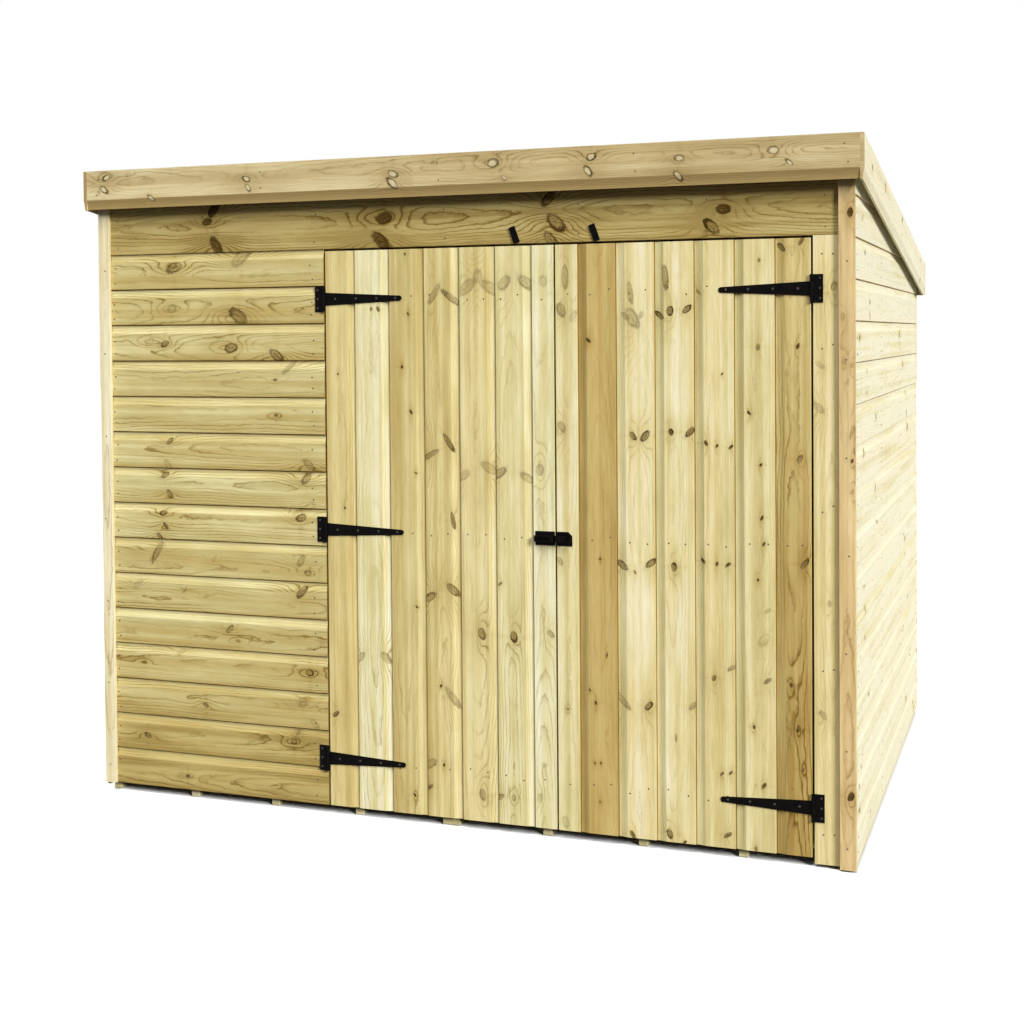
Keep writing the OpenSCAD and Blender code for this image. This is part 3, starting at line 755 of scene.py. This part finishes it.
RIGHT_KNOTS = (
    (565, 277, 3.4, 4.45), (561, 310, 3.8, 0.55), (573, 316, 3, 0.3), (562, 427, 3.4, 0.45),
    (560, 561, 2.6, 0.45), (566, 822, 3.4, 0.35), (568, 709, 1.0, 0.8), (588, 340, 1.8, 0.9),
    (596, 703, 1.5, 0.9), (607, 655, 1.0, 4.7), (600, 559, 1.0, 1.0), (590, 690, 1.0, 0.8),
    (595, 763, 1.0, 0.7), (601, 763, 1.2, 0.7), (600, 802, 1.4, 0.5), (630, 293, 2.8, 4.45),
    (632, 318, 5, 0.45), (625, 316, 2.6, 0.5), (641, 315, 2.4, 0.4), (633, 436, 2.6, 0.75),
    (645, 436, 3.2, 0.85), (622, 565, 3.2, 0.75), (635, 572, 1.4, 0.6), (651, 563, 3, 0.85),
    (622, 700, 3, 2.5), (649, 706, 2.8, 0.85), (633, 835, 2.2, 0.8), (665, 277, 3.2, 4.6),
    (670, 311, 3.2, 0.9), (659, 315, 2.6, 0.85), (687, 309, 2.8, 0.9), (671, 432, 2.6, 1.0),
    (690, 432, 2.8, 0.9), (674, 567, 2.8, 0.85), (693, 706, 2.6, 0.5), (676, 738, 1.4, 4.5),
    (670, 834, 2.8, 0.9), (685, 842, 1.4, 0.8), (706, 443, 1.8, 0.9), (717, 446, 1.4, 0.9),
    (731, 447, 1.6, 0.9), (703, 561, 1.8, 0.9), (717, 564, 1.6, 0.9), (728, 565, 1.8, 0.8),
    (714, 678, 2.2, 0.7), (732, 668, 2.4, 0.5), (728, 835, 2.2, 0.75), (722, 774, 1.4, 0.7),
    (731, 773, 1.4, 0.7), (698, 292, 1.8, 0.5), (722, 374, 0.9, 0.9), (758, 347, 2.2, 0.6),
    (749, 413, 1.6, 0.9), (761, 465, 1.5, 0.9), (762, 518, 1.6, 0.9), (764, 544, 1.4, 0.8),
    (758, 580, 1.4, 0.8), (768, 611, 2, 0.35), (764, 640, 4, 0.25), (768, 681, 2.2, 0.6),
    (754, 727, 1.6, 0.8), (764, 786, 2, 0.8), (759, 260, 1.6, 0.6), (756, 849, 1.8, 0.6),
    (781, 247, 2.6, 0.9), (801, 241, 2.2, 0.7), (798, 346, 1.8, 0.9), (800, 459, 2.6, 0.6),
    (805, 564, 2.6, 0.75), (798, 730, 1.8, 0.8), (791, 685, 1.8, 0.8), (803, 770, 1.6, 0.6),
)
POST_KNOTS = (
    (834, 286, 3, 0.5), (819, 408, 3.2, 0.35), (820, 365, 2.6, 0.3), (830, 604, 2.4, 0.4),
    (823, 715, 2.8, 0.4),
)
STRIP_KNOTS = (
    (850, 212, 2.8, 1.0), (843, 316, 2.2, 0.3), (844, 362, 2, 0.35), (852, 365, 2, 0.3), (852, 433, 2, 2.35),
    (852, 461, 1.6, 0.8), (852, 492, 2, 0.3), (851, 797, 3, 1.0),
)
FASCIA_KNOTS = (
    (106, 178, 2.8, -0.8), (104, 190, 2.8, -0.8), (128, 175, 1.4, -0.7), (151, 198, 2.3, -0.7),
    (246, 179, 2.8, -0.8), (248, 188, 2.3, -0.7), (393, 174, 3.2, -0.7), (392, 183, 3.4, -0.8),
    (433, 162, 1.8, 0.4), (493, 163, 4, -0.7), (504, 178, 1.8, -0.6), (591, 157, 3.4, -0.8),
    (588, 171, 3.2, -0.8), (679, 158, 3.2, -0.7), (678, 176, 3, -0.8), (773, 150, 3.8, -0.6),
    (789, 162, 2.3, -0.7),
)

# Walls. A tone runs from 0, pale, to 1, brown, and a hue from green to red
ROW_TONES = (0.88, 0.82, 0.73, 0.67, 0.59, 0.58, 0.60, 0.53, 0.52, 0.55, 0.53, 0.59, 0.57, 0.60, 0.58)
LOW_ROWS = 7  # rows with the stronger grain
PANEL_FADE = 0.14
WALL_JOINT_SHADE = 0.50  # painted shade: how much browner and darker a joint's gap is drawn
# painted shade: hues that warm the shaded gap of a joint on the panel and on the side walls
PANEL_HUE, PANEL_JOINT_SHADE_HUE = -0.4, 4.0
SIDE_JOINT_SHADE_HUE = 3.0
# plane under the roof boards, where walls and strips end
UNDER = (Vector((0.0, FRONT - EAVES, ROOF_Z - DECK - 0.0003)), Vector((0.0, SLOPE, 1.0)).normalized())


def board_tone(base):
    """Cladding is browner towards the foot of each board, with painted shade darkening its joints and a
    painted highlight paling its scoop.
    """

    def tone(u, a):
        # painted shade in the gap of a joint
        if in_joint(a, COVER):
            return base + WALL_JOINT_SHADE
        # painted highlight: the scoop faces up and is drawn paler
        if in_scoop(a, COVER, SCOOP_H):
            return base - 0.10
        return base + 0.06 - 0.9 * a + 0.16 * max(0.0, 1.0 - a / FOOT_BAND)

    return tone


def rows_of(node):
    """The height of each row of boards on a wall."""
    low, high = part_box(node)
    row = 0
    while low.z + row * COVER < high.z:
        yield low.z + row * COVER
        row += 1


def front_wall():
    """The panel left of the doors, each row with the tone and the knots seen on it."""
    low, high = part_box("front_cladding")
    knots = knots_on(PANEL_KNOTS, FRONT, PANEL_FADE)
    wall = Boards()
    for row, tone in enumerate(ROW_TONES):
        z = low.z + row * COVER
        off = jitter(BOARD_SHIFT)
        wall.sweep(
            shiplap(COVER, lip=row > 0),
            high.x - low.x,
            lambda u, a, d: (low.x + u, FRONT + d + off, z + a),
            board_tone(tone),
            [(x - low.x, h - z, r, kind) for x, h, r, kind in knots if z <= h < z + COVER],
            1.5 if row < LOW_ROWS else 1.25,
            # painted shade: a joint's gap is drawn warmer in hue
            hue=lambda a: PANEL_JOINT_SHADE_HUE if in_joint(a, COVER) else PANEL_HUE,
        )
    wall.finish("front_boards", "shed", *treated, ["front_cladding"])


def side_walls():
    """Both side walls, the right one paler as in the photograph: painted light on the lit side."""
    # the right wall's paler tones are painted light
    for side, name, palest, brownest in ((-1, "left", 0.20, 0.36), (1, "right", -0.04, 0.05)):
        wall = Boards()
        for row, z in enumerate(rows_of(name + "_cladding")):
            off = jitter(BOARD_SHIFT)
            base = rng.uniform(palest, brownest)
            wall.sweep(
                shiplap(COVER, lip=row > 0),
                DEPTH,
                lambda u, a, d: (side * (HALF - d - off), FRONT + u, z + a),
                # painted shade: a joint's gap is drawn browner here, and warmer in the hue below
                lambda u, a: base + WALL_JOINT_SHADE if in_joint(a, COVER) else base,
                whorls(DEPTH, COVER, 0.7, 0.003, 0.009),
                0.35,
                hue=lambda a: SIDE_JOINT_SHADE_HUE if in_joint(a, COVER) else 0.0,
            )
        wall.finish(name + "_boards", "shed", *treated, [name + "_cladding"], UNDER)


def back_wall():
    """The back wall, in the manner of the front panel."""
    low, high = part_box("back_cladding")
    wall = Boards()
    for row, z in enumerate(rows_of("back_cladding")):
        off = jitter(BOARD_SHIFT)
        wall.sweep(
            shiplap(COVER, lip=row > 0),
            high.x - low.x,
            lambda u, a, d: (high.x - u, high.y - d - off, z + a),
            board_tone(rng.uniform(0.40, 0.56)),
            whorls(high.x - low.x, COVER, 1.0),
        )
    wall.finish("back_boards", "shed", *treated, ["back_cladding"], UNDER)


def lintel():
    """The wide board over the doorway, with bold grain and large knots."""
    low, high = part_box("front_lintel_board")
    board = Boards()
    board.sweep(
        eased(high.z - low.z, THICK),
        high.x - low.x,
        lambda u, a, d: (low.x + u, FRONT + d, low.z + a),
        lambda u, a: 0.80 + 0.03 * u,
        [(x - low.x, z - low.z, r * 1.2, kind) for x, z, r, kind in knots_on(LINTEL_KNOTS, FRONT)],
        1.9,
        0.085,
        -0.4,
    )
    board.finish("lintel", "shed", *treated, ["front_lintel_board"], UNDER)


def upright(node, front, tone, listed, contrast, hue):
    """An upright board or strip, with the knots seen on it."""
    low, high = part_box(node)
    made = Boards()
    made.sweep(
        eased(high.x - low.x, high.y - low.y),
        high.z - low.z,
        lambda u, a, d: (low.x + a, low.y + d, low.z + u),
        tone,
        [(z - low.z, x - low.x, r, kind) for x, z, r, kind in knots_on(listed, front)],
        contrast,
        (high.x - low.x) / 2,
        hue,
    )
    return made


CORNERS = (
    ("front_left", 0.18, (), 0.0),
    ("front_right", 0.44, STRIP_KNOTS, 2.1),
    ("back_left", 0.34, (), 0.3),
    ("back_right", 0.34, (), 0.0),
)


def post_and_strips():
    """The door post and the strips over the corners."""
    post = upright("front_door_post", FRONT, 0.30, POST_KNOTS, 0.5, 0.8)
    post.finish("door_post", "shed", *treated, ["front_door_post"])
    for corner, tone, listed, hue in CORNERS:
        node = corner + "_corner_strip"
        strip = upright(node, FRONT - THICK, tone, listed, 1.0, hue)
        strip.finish(corner + "_strip", "shed", *trim, [node], UNDER)


# Doors. Boards are counted from the hinges, and a leaf's own way is 1 when they lie at its left
EDGE_BOARD = 0.098
LEAF_W = 0.7455
JOINTS = (0.0, *(round(EDGE_BOARD + COVER * step, 4) for step in range(6)), LEAF_W)
BOARDS = tuple(zip(JOINTS, JOINTS[1:]))
# painted shade: door joints are drawn darker and warmer in hue where their gap lies in shade
DOOR_JOINT_SHADE = 0.45
DOOR_JOINT_SHADE_HUE = 1.2
DOOR_SHIFT = 0.0002
Leaf = namedtuple("Leaf", "name way knots tones hues scoop_tone scoop_hue contrast brown_board edged_board")
LEFT_LEAF = Leaf(
    name="left",
    way=1,
    knots=LEFT_KNOTS,
    tones=(0.54, 0.24, 0.57, 0.43, 0.39, 0.32, 0.22),
    hues=(0.8, -0.4, 0.3, 0.5, 0.4, -0.2, -0.5),
    # painted light: this leaf's scoops face the light and are drawn paler
    scoop_tone=-0.05,
    scoop_hue=0.0,
    contrast=lambda u: 0.30 + 0.35 * u,
    brown_board=None,
    edged_board=3,
)
RIGHT_LEAF = Leaf(
    name="right",
    way=-1,
    knots=RIGHT_KNOTS,
    tones=(0.80, 0.36, 0.33, 0.24, 0.25, 0.74, 0.30),
    hues=(0.9, 0.2, 0.4, 0.4, 0.6, 1.3, 0.0),
    # painted shade: this leaf's scoops face away from the light and are drawn darker and greener
    scoop_tone=0.12,
    scoop_hue=-0.9,
    contrast=0.42,
    brown_board=0,
    edged_board=None,
)


def door_look(leaf, index, width):
    """Tone and hue over a door board. Scoops differ from faces with painted light and shade, joints are drawn
    darker as painted shade, one board is brown towards its foot and one along its edge."""

    def tone(u, a):
        own = 0.94 - 0.28 * u if index == leaf.brown_board else leaf.tones[index]
        # painted shade in the joint's gap
        if in_joint(a, width):
            return own + DOOR_JOINT_SHADE
        # painted light and shade on the scoop, set for each leaf
        if in_scoop(a, COVER, SCOOP_H):
            own += leaf.scoop_tone
        if index == leaf.edged_board and a < 0.006:
            own += 0.26 * u
        return own

    def hue(a):
        own = leaf.hues[index]
        # painted shade: the joint's gap is drawn warmer in hue
        if in_joint(a, width):
            return own + DOOR_JOINT_SHADE_HUE
        # the scoop's hue is part of its painted light and shade
        return own + leaf.scoop_hue if in_scoop(a, COVER, SCOOP_H) else own

    return tone, hue


def hinge_line(leaf):
    """Where a leaf's hinged edge stands."""
    low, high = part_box(leaf.name + "_door_boards")
    return low.x if leaf.way > 0 else high.x


def door(leaf):
    """A leaf of upright boards on its ledges and braces."""
    low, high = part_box(leaf.name + "_door_boards")
    hinged = hinge_line(leaf)
    body = leaf.name + "_door"

    def height(u):
        """The left leaf's boards stand top down, the right leaf's as they grew."""
        return high.z - u if leaf.way > 0 else low.z + u

    seen = []
    for x, z, r, kind in knots_on(leaf.knots, FRONT):
        seen.append((high.z - z if leaf.way > 0 else z - low.z, leaf.way * (x - hinged), r, kind))
    boards = Boards()
    for index, (start, end) in enumerate(BOARDS):
        off = jitter(DOOR_SHIFT)
        tone, hue = door_look(leaf, index, end - start)
        boards.sweep(
            shiplap(end - start, top_scoop=end < LEAF_W, lip=index > 0),
            high.z - low.z,
            lambda u, a, d: (hinged + leaf.way * (start + a), FRONT + d + off, height(u)),
            tone,
            [(u, a - start, r, kind) for u, a, r, kind in seen if start <= a < end],
            (lambda u: 3.0 - 1.5 * u) if index == leaf.brown_board else leaf.contrast,
            (end - start) * rng.uniform(0.42, 0.58),
            hue,
        )
    boards.finish(leaf.name + "_leaf", body, *treated, [leaf.name + "_door_boards"])
    for part in ("ledges", "braces"):
        dress(f"{leaf.name}_{part}", f"{leaf.name}_door_{part}", body, *framing, 0.35)


def hidden_timber():
    """Wall frames, rafters, bearers, floor and roof boards."""
    for wall in ("front", "left", "right", "back"):
        for part in ("studs", "rails"):
            node = f"{wall}_{part}"
            dress(node + "_timber", node, "shed", *framing, 0.38, FRAME_EASE)
    dress("rafters", "roof_rafters", "shed", *framing, 0.38, FRAME_EASE)
    dress("bearers", "floor_bearers", "shed", *flooring, 0.28, FRAME_EASE)
    dress("floor", "floor_boards", "shed", *flooring, 0.35)
    dress("deck", "roof_deck", "shed", *framing, 0.55)


def fascias():
    """The boards along the roof's front and back edges. The front one's scoop faces down and is drawn browner
    as painted shade.
    """
    low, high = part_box("front_fascia")
    width = high.z - low.z
    board = Boards()
    board.sweep(
        fascia(width),
        high.x - low.x,
        lambda u, a, d: (low.x + u, low.y + d, high.z - a),
        # painted shade: the downward-facing scoop is drawn browner
        lambda u, a: (1.10 if in_scoop(a, width, FASCIA_SCOOP_H) else 0.47) + 0.07 * u,
        [(x - low.x, high.z - z, r, kind) for x, z, r, kind in knots_on(FASCIA_KNOTS, low.y)],
        0.9,
    )
    board.finish("front_fascia_board", "shed", *trim, ["front_fascia"])

    low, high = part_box("back_fascia")
    board = Boards()
    board.sweep(
        fascia(high.z - low.z),
        high.x - low.x,
        lambda u, a, d: (high.x - u, high.y - d, high.z - a),
        0.40,
        whorls(high.x - low.x, high.z - low.z, 1.5, 0.004, 0.010),
    )
    board.finish("back_fascia_board", "shed", *trim, ["back_fascia"])


def bargeboards():
    """The boards along the roof's sloping edges."""
    # painted light: the right board is drawn much paler than the left, as the lit side
    for side, name, tone, end_grain in ((-1, "left", 0.40, 0.70), (1, "right", -0.05, 0.69)):
        low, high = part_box(name + "_bargeboard")
        run = high.y - low.y
        width = high.z - low.z - SLOPE * run
        face = max(abs(low.x), abs(high.x))
        board = Boards()
        board.sweep(
            fascia(width),
            run,
            lambda u, a, d: (side * (face - d), low.y + u, high.z - SLOPE * u - a),
            tone,
            whorls(run, width, 1.8, 0.004, 0.008),
            0.5,
            end_grain=end_grain,
        )
        board.finish(name + "_barge", "shed", *trim, [name + "_bargeboard"])


# Roof felt
FELT_INSET = 0.008
FELT_TOP = 0.0025
FELT_WAVE = 0.0007
LAP_BAND = 0.022  # bare bitumen along a lap
COLUMNS, ROWS = 50, 12


def quads(bm, row, after):
    """Faces between two rows of points."""
    for a, b, c, d in zip(row, row[1:], after[1:], after):
        bm.faces.new((a, b, c, d))


def felt_sheet():
    """Three strips of felt along the roof, each lapped over the one below, with a slight unevenness."""
    low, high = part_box("roof_felt")
    inset = Vector((FELT_INSET, FELT_INSET, 0.0))
    low, high = low + inset, high - inset
    bm = bmesh.new()
    lap = bm.verts.layers.float.new("lap")
    # from the eaves up: the strip's start and end down the roof, its underside and its lift at the lap
    strips = ((0.98, high.y - low.y, 0.0001, 0.0), (0.40, 1.06, 0.0014, 0.0010), (0.0, 0.48, 0.0014, 0.0020))
    for start, end, underside, lift in strips:
        runs = [start + (end - start) * j / ROWS for j in range(ROWS)] + [end - LAP_BAND, end]
        sheets = []
        for thick in (underside, FELT_TOP):
            grid = []
            for run in runs:
                y = low.y + run
                z = roof_z(y) + thick + lift * (run - start) / (end - start)
                line = []
                for i in range(COLUMNS + 1):
                    inside = 0 < i < COLUMNS and start < run < end
                    wave = rng.uniform(0.0, FELT_WAVE) if inside and thick == FELT_TOP else 0.0
                    vert = bm.verts.new((low.x + (high.x - low.x) * i / COLUMNS, y, z + wave))
                    vert[lap] = 1.0 if run == end else 0.0
                    line.append(vert)
                grid.append(line)
            sheets.append(grid)
        under, over = sheets
        around = over + under[::-1]
        for row, after in zip(around, around[1:] + around[:1]):
            quads(bm, row, after)
        quads(bm, [row[0] for row in over], [row[0] for row in under])
        quads(bm, [row[-1] for row in under], [row[-1] for row in over])
    piece("felt_strips", meshed(bm, "felt_strips"), "shed", "roof_felt", felt, ["roof_felt"])


STEEL_NODES = (
    "left_hinge_plates",
    "left_hinge_straps",
    "right_hinge_plates",
    "right_hinge_straps",
    "left_turn_button",
    "right_turn_button",
    "turn_button_screws",
    "bolt_housing",
    "bolt_bar",
    "bolt_keep",
)


def paint_steel():
    """Hinges, buttons and bolt show as modelled, in black paint."""
    for name in STEEL_NODES:
        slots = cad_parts[name].data.materials
        slots.clear()
        slots.append(black)


# Nails and screws, with the places of the nails in metres
AHEAD = (0, -1, 0)
HEAD_SIDES = 10
HEAD_RINGS = ((1.0, -0.4), (1.0, 0.35), (0.82, 0.85), (0.45, 1.0))  # radius and rise, as parts of a head's
SUNK_PART = 0.30
BOARD_NAIL = 0.0027  # radius of a head
TRIM_NAIL = 0.0025
NAIL_PROUD = 0.0005
BOARD_NAILS = (0.026, 0.070)  # up from a board's foot
NAIL_ROOM = 0.085  # height that a nailed row needs
ROOF_ROOM = 0.16  # nails of the side walls end so far below the roof
BACK_RAIL = 1.64  # and those of the back wall at this height
SCREW_PROUD = 0.0009
SCREW_SUNK = 0.8
STRAP_SCREW = 0.0036
PLATE_SCREW = 0.0032
PLATE_EDGE = 0.0086  # plate screws from a plate's outer edge
STRAP_REACHES = (0.035, 0.105, 0.175, 0.238)  # from the hinge line
PLATE_LIFTS = (-0.028, 0.0, 0.028)
LEDGE_HALF = 0.035
DOOR_NAILS = (0.22, 0.68)  # across a board, as parts of its width


class Heads:
    """Nail and screw heads: low domes with a sunk middle, all of one body in one mesh."""

    def __init__(self):
        self.bm = bmesh.new()

    def add(self, place, out, radius, proud=NAIL_PROUD, sunk=0.0):
        out = Vector(out).normalized()
        side = out.orthogonal().normalized()
        up = out.cross(side)
        rings = []
        for part, rise in (*HEAD_RINGS, (SUNK_PART, 1.0 - sunk)):
            middle = Vector(place) + out * proud * rise
            ring = []
            for step in range(HEAD_SIDES):
                turn = math.tau * step / HEAD_SIDES
                spoke = side * math.cos(turn) + up * math.sin(turn)
                ring.append(self.bm.verts.new(middle + spoke * radius * part))
            rings.append(ring)
        for inner, outer in zip(rings[1:], rings):
            for step in range(HEAD_SIDES):
                after = (step + 1) % HEAD_SIDES
                self.bm.faces.new((outer[step], outer[after], inner[after], inner[step]))
        self.bm.faces.new(rings[-1])

    def finish(self, name, body, material, slot):
        bmesh.ops.recalc_face_normals(self.bm, faces=self.bm.faces)
        return piece(name, meshed(self.bm, name), body, slot, material, ())


def board_nails(nails):
    """Nails of the cladding, two in each board where it crosses a stud."""
    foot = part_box("front_cladding")[0].z
    for row in range(len(ROW_TONES)):
        for x in (-1.168, -0.448):
            for a in BOARD_NAILS:
                across = x + jitter(0.006)
                nails.add((across, FRONT, foot + row * COVER + a + jitter(0.006)), AHEAD, BOARD_NAIL)
    for side, node in ((-1, "left_cladding"), (1, "right_cladding")):
        for y in (FRONT + 0.030, FRONT + 0.62, FRONT + 1.21, FRONT + DEPTH - 0.030):
            for z in rows_of(node):
                if z + NAIL_ROOM < roof_z(y) - ROOF_ROOM:
                    for a in BOARD_NAILS:
                        nails.add((side * HALF, y + jitter(0.005), z + a), (side, 0, 0), BOARD_NAIL)
    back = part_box("back_cladding")[1].y
    for x in (-1.15, -0.59, 0.0, 0.59, 1.15):
        for z in rows_of("back_cladding"):
            if z + NAIL_ROOM < BACK_RAIL:
                for a in BOARD_NAILS:
                    nails.add((x + jitter(0.005), back, z + a), (0, 1, 0), BOARD_NAIL)


def trim_nails(nails):
    """Nails of the corner strips, the lintel board, the door post and the front fascia."""
    for corner, *_ in CORNERS:
        low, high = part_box(corner + "_corner_strip")
        way = -1 if "front" in corner else 1
        face = low.y if way < 0 else high.y
        for step in range(7):
            z = low.z + 0.06 + step * 0.27
            if z < high.z - 0.05:
                nails.add(((low.x + high.x) / 2 + jitter(0.006), face, z), (0, way, 0), TRIM_NAIL)
    for x in (-1.16, -0.80, -0.43, 0.0, 0.42, 0.80, 1.13):
        for z in (1.782, 1.868):
            nails.add((x + jitter(0.008), FRONT, z), AHEAD, TRIM_NAIL)
    for z in (0.10, 0.55, 1.00, 1.45, 1.70):
        for x in (1.128, 1.158):
            nails.add((x, FRONT, z + jitter(0.01)), AHEAD, TRIM_NAIL)
    low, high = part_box("front_fascia")
    for x in (-1.20, -0.604, 0.0, 0.604, 1.20):
        for drop in (0.028, 0.078):
            nails.add((x + jitter(0.008), low.y, high.z - drop), AHEAD, TRIM_NAIL)


def wall_nails():
    """All nails that stay with the walls."""
    nails = Heads()
    board_nails(nails)
    trim_nails(nails)
    nails.finish("wall_nails", "shed", nail, None)


def door_fixings(leaf):
    """Nails in a door's boards at each ledge, and the screws of its hinges."""
    name, way = leaf.name, leaf.way
    hinged = hinge_line(leaf)
    low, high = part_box(name + "_door_ledges")
    middles = (low.z + LEDGE_HALF, (low.z + high.z) / 2, high.z - LEDGE_HALF)
    nails = Heads()
    for z in middles:
        for start, end in BOARDS:
            for part in DOOR_NAILS if end < LEAF_W else (0.5,):
                x = hinged + way * (start + (end - start) * part + jitter(0.005))
                # straps hide the nails nearest to the hinges
                if start > 0.20 or z == middles[1] and way < 0:
                    nails.add((x, FRONT, z + jitter(0.012)), AHEAD, TRIM_NAIL)
    nails.finish(name + "_door_nails", name + "_door", nail, None)

    low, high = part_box(name + "_hinge_plates")
    plate_x = low.x + PLATE_EDGE if way > 0 else high.x - PLATE_EDGE
    strap_screws = Heads()
    plate_screws = Heads()
    for z in middles if way > 0 else (middles[0], middles[2]):
        for reach in STRAP_REACHES:
            place = (hinged + way * reach, FRONT - HINGE, z)
            strap_screws.add(place, AHEAD, STRAP_SCREW, SCREW_PROUD, SCREW_SUNK)
        for lift in PLATE_LIFTS:
            place = (plate_x, FRONT - HINGE, z + lift)
            plate_screws.add(place, AHEAD, PLATE_SCREW, SCREW_PROUD, SCREW_SUNK)
    strap_screws.finish(name + "_strap_screws", name + "_door", screw, "black_steel")
    plate_screws.finish(name + "_plate_screws", "shed", screw, "black_steel")


def backdrop():
    """A pale floor that runs out to white and keeps the shed's soft shadow."""
    material, g, shader = new_material("stage_floor")
    colour = g.mix(g.seen(), (0.03, 0.03, 0.029), (0.95, 0.95, 0.945))
    g.fill(shader, {"Base Color": colour, "Roughness": 0.9, "Specular IOR Level": 0.0})
    bm = bmesh.new()
    bmesh.ops.create_circle(bm, cap_ends=True, radius=40.0, segments=64)
    made_floor = linked("stage_floor", meshed(bm, "stage_floor"))
    made_floor.data.materials.append(material)
    made_floor.location.z = -0.001


def surroundings():
    """A white world to look at that gives only a little light."""
    world = bpy.data.worlds.new("studio")
    scene.world = world
    world.use_nodes = True
    world.node_tree.nodes.clear()
    g = Graph(world.node_tree)
    strength = g.span(g.seen(), 0.0, 1.0, 0.10, 1.0)
    light = g.fill(g.node("ShaderNodeBackground"), {"Color": (1.0, 1.0, 1.0, 1.0), "Strength": strength})
    g.fill(g.node("ShaderNodeOutputWorld"), {"Surface": g.value(light)})


def lamp(name, towards, strength, spread):
    """A far, broad, even source, so that no part of the shed is nearer to it than another."""
    data = bpy.data.lights.new(name, "SUN")
    data.energy = strength
    data.angle = spread
    made = linked(name, data)
    made.rotation_euler = Vector(towards).to_track_quat("Z", "Y").to_euler()


def photo_camera():
    """The camera fitted to the photograph."""
    camera = linked("camera", bpy.data.cameras.new("camera"))
    camera.location = CAMERA_AT
    camera.rotation_euler = CAMERA_TURN
    camera.data.sensor_width = SENSOR
    camera.data.lens = LENS
    camera.data.shift_x = SHIFT_X
    camera.data.shift_y = SHIFT_Y
    scene.camera = camera


front_wall()
side_walls()
back_wall()
lintel()
post_and_strips()
for leaf in (LEFT_LEAF, RIGHT_LEAF):
    door(leaf)
hidden_timber()
fascias()
bargeboards()
felt_sheet()
paint_steel()
wall_nails()
for leaf in (LEFT_LEAF, RIGHT_LEAF):
    door_fixings(leaf)
backdrop()
surroundings()
lamp("key", (0.74, -0.52, 0.43), 3.75, 0.34)
lamp("top", (0.0, -0.42, 0.91), 2.7, 0.5)
lamp("back", (-0.58, 0.62, 0.53), 3.0, 0.5)
photo_camera()
